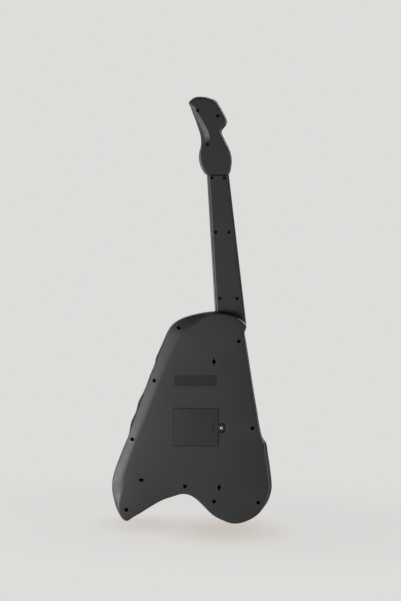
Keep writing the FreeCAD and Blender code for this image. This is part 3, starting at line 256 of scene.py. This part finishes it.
BACK = (0.0215, 0.0238, 0.0226)
M = {
    "back": moulded("back_shell_charcoal", BACK, (0.50, 0.60), 1500.0, 0.00007, 0.35, spec=0.36, vary=0.07, scuffs=0.10),
    "door": moulded("door_charcoal", (0.0135, 0.0168, 0.0166), (0.46, 0.55), 1500.0, 0.00006, 0.35, spec=0.34, vary=0.07, scuffs=0.10),
    "label": moulded("label_recess_dark", (0.0075, 0.0098, 0.0096), (0.42, 0.50), 2200.0, 0.00003, 0.2, spec=0.34, vary=0.08),
    "front": moulded("front_shell_black", (0.0125, 0.0135, 0.0130), (0.46, 0.56), 1700.0, 0.00005, 0.25, spec=0.42, vary=0.08, scuffs=0.08),
    "red": moulded("plate_deep_red", (0.27, 0.007, 0.011), (0.16, 0.22), 900.0, 0.00001, 0.10, coat=0.35, vary=0.10, scuffs=0.05),
    "cream": moulded("trim_cream", (0.66, 0.60, 0.47), (0.30, 0.38), 1200.0, 0.00003, 0.2, vary=0.06),
    "wood": wood_print("fretboard_printed"),
    "silver": painted_silver("silver_paint"),
    "steel": metal("screw_steel", (0.56, 0.55, 0.53)),
    "oxide": metal("screw_black_oxide", (0.055, 0.054, 0.053), (0.34, 0.48)),
    "chrome": metal("chrome_plate", (0.78, 0.78, 0.80), (0.07, 0.14), scratch=0.08),
    "string": metal("string_wire", (0.66, 0.64, 0.60), (0.20, 0.32), (40.0, 40.0, 9000.0), 0.6),
    "white": moulded("button_white", (0.72, 0.72, 0.70), (0.20, 0.28), 1500.0, 0.00002, 0.15, coat=0.3, vary=0.04),
    "k_red": moulded("key_red", (0.52, 0.016, 0.018), (0.20, 0.28), 1500.0, 0.00002, 0.15, coat=0.35, vary=0.08),
    "k_yellow": moulded("key_yellow", (0.78, 0.50, 0.02), (0.20, 0.28), 1500.0, 0.00002, 0.15, coat=0.35, vary=0.06),
    "k_green": moulded("key_green", (0.025, 0.33, 0.07), (0.20, 0.28), 1500.0, 0.00002, 0.15, coat=0.35, vary=0.08),
    "k_blue": moulded("key_blue", (0.018, 0.10, 0.46), (0.20, 0.28), 1500.0, 0.00002, 0.15, coat=0.35, vary=0.08),
    "k_orange": moulded("key_orange", (0.78, 0.19, 0.015), (0.20, 0.28), 1500.0, 0.00002, 0.15, coat=0.35, vary=0.07),
    "knob": moulded("knob_black", (0.016, 0.016, 0.017), (0.22, 0.32), 1600.0, 0.00003, 0.2, coat=0.3, vary=0.1),
    "pickup": moulded("pickup_black", (0.014, 0.014, 0.015), (0.26, 0.36), 1500.0, 0.00003, 0.2, coat=0.2, vary=0.1),
    "lens": lens("lens_amber", (0.85, 0.28, 0.04)),
    "pcb": board("circuit_board"),
    "comp": moulded("component_black", (0.02, 0.02, 0.021), (0.35, 0.5), 1800.0, 0.00003, 0.25, vary=0.15),
    "silicone": rubber("silicone_grey", (0.32, 0.33, 0.33)),
    "paper": paper("speaker_paper"),
    "box": moulded("battery_box_black", (0.02, 0.02, 0.02), (0.42, 0.52), 1400.0, 0.00006, 0.3, vary=0.1),
    "wire_red": moulded("wire_red", (0.42, 0.012, 0.01), (0.3, 0.4), 1500.0, 0.00002, 0.15, vary=0.08),
    "wire_black": moulded("wire_black", (0.015, 0.015, 0.015), (0.32, 0.42), 1500.0, 0.00002, 0.15, vary=0.1),
    "wire_grey": moulded("wire_grey", (0.34, 0.35, 0.36), (0.34, 0.44), 1500.0, 0.00002, 0.15, vary=0.08),
    "jacket": moulded("cell_jacket_black", (0.022, 0.022, 0.024), (0.18, 0.26), 900.0, 0.00001, 0.1, coat=0.4, vary=0.1),
    "band": metal("cell_band_copper", (0.62, 0.36, 0.16), (0.18, 0.28), (30.0, 900.0, 900.0), 0.1),
}
LOOK = {
    "body_back_shell": "back", "rating_label": "label", "body_front_shell": "front", "front_plate": "red", "front_plate_trim": "cream",
    "plate_screws": "steel", "neck_front_shell": "front", "neck_back_cover": "back", "headstock_back_cover": "back",
    "body_screws": "oxide", "small_screws": "oxide", "fretboard": "wood", "fret_dots": "cream", "frets": "silver", "nut": "cream",
    "fret_key_1": "k_green", "fret_key_2": "k_red", "fret_key_3": "k_yellow", "fret_key_4": "k_blue", "fret_key_5": "k_orange",
    "neck_pcb": "pcb", "contact_pads": "silicone", "headstock_plate": "red", "tuner_posts": "silver", "speaker_grille": "silver",
    "speaker_frame": "steel", "speaker_cone": "paper", "speaker_magnet": "steel", "main_pcb": "pcb", "pcb_components": "comp",
    "led_lenses": "lens", "mode_button_1": "white", "mode_button_2": "k_yellow", "mode_button_3": "k_blue", "mode_button_4": "k_green",
    "play_button": "k_orange", "volume_knob": "knob", "tone_knob": "knob", "potentiometers": "steel", "power_switch_slider": "silver",
    "power_switch_body": "comp", "string_anchor": "silver", "bridge": "silver", "bridge_saddles": "chrome", "strings": "string",
    "pickup_covers": "pickup", "pickup_poles": "chrome", "whammy_bracket": "silver", "whammy_pin": "steel", "whammy_arm": "silver",
    "whammy_spring": "steel", "battery_box": "box", "batteries": "jacket", "battery_contacts": "chrome", "battery_door": "door",
    "battery_door_screw": "steel", "wire_battery_red": "wire_red", "wire_battery_black": "wire_black", "wires_signal": "wire_grey",
    "neck_ribbon": "wire_grey",
}


def smooth_group(angle_deg):
    """Geometry nodes: merge split vertices, drop stored normals, shade smooth with edges sharper than the angle kept."""
    g = bpy.data.node_groups.new("smooth_%d" % angle_deg, "GeometryNodeTree")
    g.interface.new_socket("Geometry", in_out="INPUT", socket_type="NodeSocketGeometry")
    g.interface.new_socket("Geometry", in_out="OUTPUT", socket_type="NodeSocketGeometry")
    n = g.nodes
    i, o = n.new("NodeGroupInput"), n.new("NodeGroupOutput")
    rm = n.new("GeometryNodeRemoveAttribute")
    rm.inputs["Name"].default_value = "custom_normal"
    mg = n.new("GeometryNodeMergeByDistance")
    mg.inputs["Distance"].default_value = 1e-6
    ang = n.new("GeometryNodeInputMeshEdgeAngle")
    cmp_ = n.new("FunctionNodeCompare")
    cmp_.data_type, cmp_.operation = "FLOAT", "LESS_EQUAL"
    cmp_.inputs[1].default_value = math.radians(angle_deg)
    s1, s2 = n.new("GeometryNodeSetShadeSmooth"), n.new("GeometryNodeSetShadeSmooth")
    s1.domain, s2.domain = "FACE", "EDGE"
    g.links.new(i.outputs[0], rm.inputs["Geometry"])
    g.links.new(rm.outputs["Geometry"], mg.inputs["Geometry"])
    g.links.new(mg.outputs["Geometry"], s1.inputs["Geometry"])
    g.links.new(s1.outputs["Geometry"], s2.inputs["Geometry"])
    g.links.new(ang.outputs["Unsigned Angle"], cmp_.inputs[0])
    g.links.new(cmp_.outputs["Result"], s2.inputs["Shade Smooth"])
    g.links.new(s2.outputs["Geometry"], o.inputs[0])
    return g


SMOOTH = smooth_group(28)


def smooth(o, group=SMOOTH):
    md = o.modifiers.new("smooth", "NODES")
    md.node_group = group


for name, o in nodes.items():
    o.data.materials.clear()
    o.data.materials.append(M[LOOK[name]])
    smooth(o)


# ---------------------------------------------------------------- helpers for new pieces
def new_piece(name, bm, body, mats):
    me = bpy.data.meshes.new(name)
    bmesh.ops.recalc_face_normals(bm, faces=bm.faces)
    bm.to_mesh(me)
    bm.free()
    o = bpy.data.objects.new(name, me)
    bpy.context.scene.collection.objects.link(o)
    for m in mats:
        me.materials.append(m)
    smooth(o)
    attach(o, body)
    return o


def frames_along(pts):
    """Tangent, normal and binormal at each point, carried along without twist."""
    out, n = [], None
    for i, p in enumerate(pts):
        a, b = pts[max(0, i - 1)], pts[min(len(pts) - 1, i + 1)]
        t = (b - a).normalized()
        if n is None:
            n = t.orthogonal().normalized()
        n = (n - t * n.dot(t)).normalized()
        out.append((t, n, t.cross(n)))
    return out


def sweep(bm, pts, radius, sides=12, mat=0, cap=True):
    """Round tube along points; radius may be a list."""
    rings = []
    for i, (p, (t, n, b)) in enumerate(zip(pts, frames_along(pts))):
        r = radius[i] if hasattr(radius, "__len__") else radius
        rings.append([bm.verts.new(p + (n * math.cos(2 * math.pi * k / sides) + b * math.sin(2 * math.pi * k / sides)) * r) for k in range(sides)])
    faces = []
    for r0, r1 in zip(rings, rings[1:]):
        for k in range(sides):
            faces.append(bm.faces.new((r0[k], r0[(k + 1) % sides], r1[(k + 1) % sides], r1[k])))
    if cap:
        faces.append(bm.faces.new(rings[0][::-1]))
        faces.append(bm.faces.new(rings[-1]))
    for f in faces:
        f.material_index = mat


def turned(bm, origin, axis, prof, sides=40, mats=None):
    """Closed profile of (radius, distance along axis) turned about an axis; a zero radius closes on the axis."""
    axis = axis.normalized()
    n = axis.orthogonal().normalized()
    b = axis.cross(n)
    rings = []
    for r, d in prof:
        c = origin + axis * d
        if r <= 0:
            rings.append([bm.verts.new(c)])
        else:
            rings.append([bm.verts.new(c + (n * math.cos(2 * math.pi * k / sides) + b * math.sin(2 * math.pi * k / sides)) * r) for k in range(sides)])
    for i, (r0, r1) in enumerate(zip(rings, rings[1:])):
        for k in range(sides):
            j = (k + 1) % sides
            if len(r0) == 1 and len(r1) == 1:
                continue
            if len(r0) == 1:
                f = bm.faces.new((r0[0], r1[j], r1[k]))
            elif len(r1) == 1:
                f = bm.faces.new((r0[k], r0[j], r1[0]))
            else:
                f = bm.faces.new((r0[k], r0[j], r1[j], r1[k]))
            f.material_index = mats[i] if mats else 0


# strings: wound wires, each in its saddle notch and anchor hole
STRING_R = [0.38, 0.42, 0.46, 0.52, 0.58, 0.64]
bm = bmesh.new()
for k, r in enumerate(STRING_R):
    a = 4.8 * (k - 2.5)
    p0, p1 = sax(261.0, a, -3.0), sax(96.0, a, 8.5)
    q0, q1 = P(p0[0], p0[1], -19.6), P(p1[0], p1[1], -19.6)
    n = 60 if k < 2 else 400
    pts = [q0.lerp(q1, i / n) for i in range(n + 1)]
    rad = [r / 1000.0 * (1.0 if k < 2 else (1.0 - 0.10 * (i % 2))) for i in range(n + 1)]
    sweep(bm, pts, rad, 10)
strings = new_piece("strings_wound", bm, "guitar", [M["string"]])
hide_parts("strings")

# return spring round the arm's pin
HW = sax(97.0)
du, dv = rot(-31.0, 0.0, NA)
HW = (HW[0] + du, HW[1] + dv)


def wp(a, b, y=-21.5):
    x, z = rot(a, b, NA)
    return P(HW[0] + x, HW[1] + z, y)


bm = bmesh.new()
ax = (wp(1, 0) - wp(0, 0)).normalized()
fwd = Vector((0, 1, 0))
side = ax.cross(fwd)
pts = []
turns, steps = 3.5, 84
c0, c1 = wp(2.75, 0), wp(4.95, 0)
for i in range(steps + 1):
    t = i / steps
    ang = 2 * math.pi * turns * t - math.pi / 2
    pts.append(c0.lerp(c1, t) + (fwd * math.cos(ang) + side * math.sin(ang)) * 0.00262)
last = pts[-1]
pts += [last + fwd * 0.0012 + side * 0.0001, last + fwd * 0.0030, last + fwd * 0.0046]
sweep(bm, pts, 0.00038, 8)
spring = new_piece("whammy_return_spring", bm, "guitar", [M["steel"]])
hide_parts("whammy_spring")

# cells with banded jackets and steel ends
CELL_Y, PITCH = 17.6, 15.8
bm = bmesh.new()
for i, b in enumerate((-PITCH, 0.0, PITCH)):
    s = 1 if i != 1 else -1
    a0, a1 = door_pt(-21.4 * s, b), door_pt(28.8 * s, b)
    q0, q1 = P(a0[0], a0[1], CELL_Y), P(a1[0], a1[1], CELL_Y)
    prof = [(0, 0), (4.6, 0), (4.8, 0.3), (6.0, 0.3), (6.6, 0.05), (7.05, 0.35), (7.1, 0.8), (7.1, 34.0), (7.1, 34.01), (7.1, 48.4),
            (7.0, 49.0), (6.5, 49.2), (5.8, 48.9), (3.0, 48.9), (2.8, 49.3), (2.7, 50.0), (2.4, 50.2), (0, 50.2)]
    mat = [2, 2, 2, 2, 0, 0, 0, 0, 1, 1, 1, 2, 2, 2, 2, 2, 2]
    turned(bm, q0, q1 - q0, [(r / 1000.0, d / 1000.0) for r, d in prof], 48, mat)
cells = new_piece("battery_cells", bm, "guitar", [M["jacket"], M["band"], M["chrome"]])
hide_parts("batteries")

# contact plates with pressed ribs, and conical springs
bm = bmesh.new()


def plate(a, b, w, y0, y1, toward):
    """Thin plate in the door's axes with a pressed rib."""
    t = 0.25
    nb, ny = max(2, int(w / 1.5)), 8
    grid = {}
    for sgn in (-1, 1):
        for i in range(nb + 1):
            for j in range(ny + 1):
                bb = b - w / 2 + w * i / nb
                yy = y0 + (y1 - y0) * j / ny
                rib = 0.12 * math.exp(-((j / ny - 0.5) / 0.16) ** 2) * (1 if 0 < i < nb else 0)
                u, v = door_pt(a + sgn * (t - 0.02) - toward * rib * (1 if sgn == toward else 0) * 0.5, bb)
                grid[sgn, i, j] = bm.verts.new(P(u, v, yy))
    for sgn in (-1, 1):
        for i in range(nb):
            for j in range(ny):
                q = [grid[sgn, i, j], grid[sgn, i + 1, j], grid[sgn, i + 1, j + 1], grid[sgn, i, j + 1]]
                bm.faces.new(q if sgn > 0 else q[::-1])
    for i in range(nb):
        bm.faces.new((grid[-1, i, 0], grid[-1, i + 1, 0], grid[1, i + 1, 0], grid[1, i, 0]))
        bm.faces.new((grid[1, i, ny], grid[1, i + 1, ny], grid[-1, i + 1, ny], grid[-1, i, ny]))
    for j in range(ny):
        bm.faces.new((grid[1, 0, j], grid[1, 0, j + 1], grid[-1, 0, j + 1], grid[-1, 0, j]))
        bm.faces.new((grid[-1, nb, j], grid[-1, nb, j + 1], grid[1, nb, j + 1], grid[1, nb, j]))


plate(-29.05, -PITCH, 12.0, 11.5, 23.4, 1)
plate(-29.05, -PITCH, 3.0, 7.5, 11.5, 1)
plate(-29.05, PITCH / 2, 27.8, 11.5, 23.4, 1)
plate(29.05, -PITCH / 2, 27.8, 11.5, 23.4, -1)
plate(29.05, PITCH, 12.0, 11.5, 23.4, -1)
plate(29.05, PITCH, 3.0, 7.5, 11.5, -1)
for i, b in enumerate((-PITCH, 0.0, PITCH)):
    s = 1 if i != 1 else -1
    pts, turns, steps = [], 4.5, 108
    for k in range(steps + 1):
        t = k / steps
        ang = 2 * math.pi * turns * t
        r = 4.2 + (2.4 - 4.2) * t
        u, v = door_pt(s * (-28.3 + 6.5 * t), b + r * math.cos(ang))
        pts.append(P(u, v, CELL_Y + r * math.sin(ang)))
    sweep(bm, pts, 0.0004, 8)
contacts = new_piece("cell_contacts", bm, "guitar", [M["chrome"]])
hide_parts("battery_contacts")

# pointer inlays in the knobs' grooves
for body, (u, v) in (("volume_knob_body", (80.0, 46.0)), ("tone_knob_body", (50.0, 61.0))):
    bm = bmesh.new()
    prof = []
    n = 10
    for sgn in (1, -1):
        for k in range(n + 1):
            ang = math.pi * k / n if sgn > 0 else math.pi + math.pi * k / n
            cy = 2.6 if sgn > 0 else -2.6
            prof.append((0.62 * math.cos(ang), cy + 0.62 * math.sin(ang)))
    rows = []
    for yy, shrink in ((-24.42, 1.0), (-24.95, 1.0), (-25.08, 0.7)):
        rows.append([bm.verts.new(P(u + x * shrink, v + 5.6 + z * (1 - (1 - shrink) * 0.15), yy)) for x, z in prof])
    for r0, r1 in zip(rows, rows[1:]):
        for k in range(len(r0)):
            j = (k + 1) % len(r0)
            bm.faces.new((r0[k], r0[j], r1[j], r1[k]))
    bm.faces.new(rows[0][::-1])
    bm.faces.new(rows[-1])
    new_piece(body.replace("_body", "_pointer"), bm, body, [M["white"]])

# ---------------------------------------------------------------- stage, light and camera
BG = (0.7305, 0.7230, 0.7080)


def floor_material():
    """Pale floor: lit and shadowed close to the object, with a warm painted shadow under the feet, fading into the
    even backdrop colour further out.
    """
    m = bpy.data.materials.new("studio_floor")
    m.use_nodes = True
    t = m.node_tree
    t.nodes.clear()

    def node(kind, **props):
        n = t.nodes.new(kind)
        for k, v in props.items():
            setattr(n, k, v)
        return n

    def math_(op, a, b=None, c=None):
        n = node("ShaderNodeMath", operation=op)
        for k, v in enumerate((a, b, c)):
            if v is None:
                continue
            if isinstance(v, bpy.types.NodeSocket):
                t.links.new(v, n.inputs[k])
            else:
                n.inputs[k].default_value = v
        return n.outputs[0]

    co = node("ShaderNodeTexCoord").outputs["Object"]
    sep = node("ShaderNodeSeparateXYZ")
    t.links.new(co, sep.inputs[0])

    def blob(cx, cy, rx, ry, inner):
        dx = math_("DIVIDE", math_("SUBTRACT", sep.outputs["X"], cx), rx)
        dy = math_("DIVIDE", math_("SUBTRACT", sep.outputs["Y"], cy), ry)
        d = math_("SQRT", math_("ADD", math_("MULTIPLY", dx, dx), math_("MULTIPLY", dy, dy)))
        n = node("ShaderNodeMapRange", interpolation_type="SMOOTHSTEP")
        t.links.new(d, n.inputs["Value"])
        for key, val in (("From Min", inner), ("From Max", 1.0), ("To Min", 1.0), ("To Max", 0.0)):
            n.inputs[key].default_value = val
        return n.outputs["Result"]

    near = blob(0.0, 0.0, 0.55, 0.62, 0.45)
    # painted shadow: a warm darkening painted into the floor's emission under the two lower lobes, standing in for
    # their contact shadows
    painted_shadow = math_("MAXIMUM", blob(-0.045, 0.10, 0.125, 0.24, 0.05), math_("MULTIPLY", blob(0.055, 0.06, 0.10, 0.17, 0.05), 0.75))
    speck = node("ShaderNodeTexNoise")
    speck.inputs["Scale"].default_value = 3.0
    t.links.new(co, speck.inputs["Vector"])
    shadow_tint = node("ShaderNodeMix", data_type="RGBA")
    rgba = [x for x in shadow_tint.inputs if x.type == "RGBA"]
    rgba[0].default_value = (*BG, 1.0)
    rgba[1].default_value = (PAINTED_SHADOW_COLOR[0], PAINTED_SHADOW_COLOR[1], PAINTED_SHADOW_COLOR[2], 1.0)
    t.links.new(painted_shadow, shadow_tint.inputs[0])
    em = node("ShaderNodeEmission")
    t.links.new([x for x in shadow_tint.outputs if x.type == "RGBA"][0], em.inputs["Color"])
    strength = node("ShaderNodeMapRange")
    t.links.new(near, strength.inputs["Value"])
    strength.inputs["To Min"].default_value = 1.0
    strength.inputs["To Max"].default_value = NEAR_EMIT
    t.links.new(strength.outputs["Result"], em.inputs["Strength"])
    dif = node("ShaderNodeBsdfDiffuse")
    dcol = node("ShaderNodeMix", data_type="RGBA")
    rg = [x for x in dcol.inputs if x.type == "RGBA"]
    rg[0].default_value = (0.0, 0.0, 0.0, 1.0)
    rg[1].default_value = (NEAR_ALB, NEAR_ALB * 0.99, NEAR_ALB * 0.97, 1.0)
    t.links.new(math_("MULTIPLY", near, math_("MULTIPLY_ADD", speck.outputs["Fac"], 0.06, 0.97)), dcol.inputs[0])
    t.links.new([x for x in dcol.outputs if x.type == "RGBA"][0], dif.inputs["Color"])
    add = node("ShaderNodeAddShader")
    t.links.new(em.outputs[0], add.inputs[0])
    t.links.new(dif.outputs[0], add.inputs[1])
    out = node("ShaderNodeOutputMaterial")
    t.links.new(add.outputs[0], out.inputs["Surface"])
    return m


# colour of the warm painted shadow under the feet
PAINTED_SHADOW_COLOR = (0.62, 0.575, 0.53)
NEAR_EMIT, NEAR_ALB = 0.90, 0.09
me = bpy.data.meshes.new("studio_floor")
n, R = 96, 16.0
me.from_pydata([(R * math.cos(2 * math.pi * k / n), R * math.sin(2 * math.pi * k / n), 0.0) for k in range(n)], [], [tuple(range(n))])
floor = bpy.data.objects.new("studio_floor", me)
bpy.context.scene.collection.objects.link(floor)
floor.data.materials.append(floor_material())

sc = bpy.context.scene
sc.view_settings.view_transform = "Standard"
sc.view_settings.look = "None"
sc.view_settings.exposure = 0.0
sc.view_settings.gamma = 1.0
w = bpy.data.worlds.new("studio_world")
sc.world = w
w.use_nodes = True
wt = w.node_tree
bgn = wt.nodes["Background"]
bgn.inputs["Color"].default_value = (0.92, 0.96, 1.0, 1.0)
# the room is bright on the far side of the object and dim on the camera's side
tc = wt.nodes.new("ShaderNodeTexCoord")
sx = wt.nodes.new("ShaderNodeSeparateXYZ")
wt.links.new(tc.outputs["Generated"], sx.inputs[0])
mr = wt.nodes.new("ShaderNodeMapRange")
wt.links.new(sx.outputs["Y"], mr.inputs["Value"])
for key, val in (("From Min", 0.0), ("From Max", -0.7), ("To Min", 0.02), ("To Max", 0.36)):
    mr.inputs[key].default_value = val
wt.links.new(mr.outputs["Result"], bgn.inputs["Strength"])
seen = wt.nodes.new("ShaderNodeBackground")
seen.inputs["Color"].default_value = (*BG, 1.0)
lp = wt.nodes.new("ShaderNodeLightPath")
mx = wt.nodes.new("ShaderNodeMixShader")
wt.links.new(lp.outputs["Is Camera Ray"], mx.inputs[0])
wt.links.new(bgn.outputs[0], mx.inputs[1])
wt.links.new(seen.outputs[0], mx.inputs[2])
wt.links.new(mx.outputs[0], wt.nodes["World Output"].inputs["Surface"])


def area(name, loc, target, size, power, color=(1, 1, 1)):
    d = bpy.data.lights.new(name, "AREA")
    d.shape = "RECTANGLE"
    d.size, d.size_y = size
    d.energy = power
    d.color = color
    o = bpy.data.objects.new(name, d)
    bpy.context.scene.collection.objects.link(o)
    o.location = loc
    o.rotation_euler = (Vector(target) - Vector(loc)).to_track_quat("-Z", "Y").to_euler()
    return o


area("strip_left", (1.00, 0.205, 0.11), (0.0, 0.0, 0.07), (0.40, 0.20), 13.6, (1.0, 0.995, 0.975))
area("near_left", (0.44, 0.80, 0.10), (0.03, 0.02, 0.10), (0.22, 0.24), 3.6, (1.0, 1.0, 0.985))
area("rim_right", (-1.5, 0.22, 0.30), (0.0, 0.0, 0.15), (0.4, 0.9), 5.5, (0.97, 0.985, 1.0))
area("soft_front", (-0.9, -2.2, 1.3), (0.0, 0.0, 0.3), (1.6, 1.6), 24.0)
area("fill_front", (1.3, -1.9, 0.6), (0.0, 0.0, 0.3), (1.2, 1.2), 9.0)

# camera: behind the guitar, long lens, rolled a little as the picture is
cam_d = bpy.data.cameras.new("camera")
cam = bpy.data.objects.new("camera", cam_d)
sc.collection.objects.link(cam)
sc.camera = cam
DIST, ELEV, AZIM, ROLL = 5.5, math.radians(3.2), 0.0, math.radians(1.44)
SPAN = 0.8395
target = Vector((-0.0055, 0.012, 0.3108))
back = Vector((math.sin(AZIM) * math.cos(ELEV), math.cos(AZIM) * math.cos(ELEV), math.sin(ELEV)))
cam.location = target + back * DIST
q = (-back).to_track_quat("-Z", "Y")
cam.rotation_mode = "QUATERNION"
cam.rotation_quaternion = q @ Matrix.Rotation(ROLL, 3, "Z").to_quaternion()
cam_d.sensor_width = 36.0
cam_d.lens = 36.0 * DIST / SPAN
cam_d.clip_start, cam_d.clip_end = 0.05, 60.0
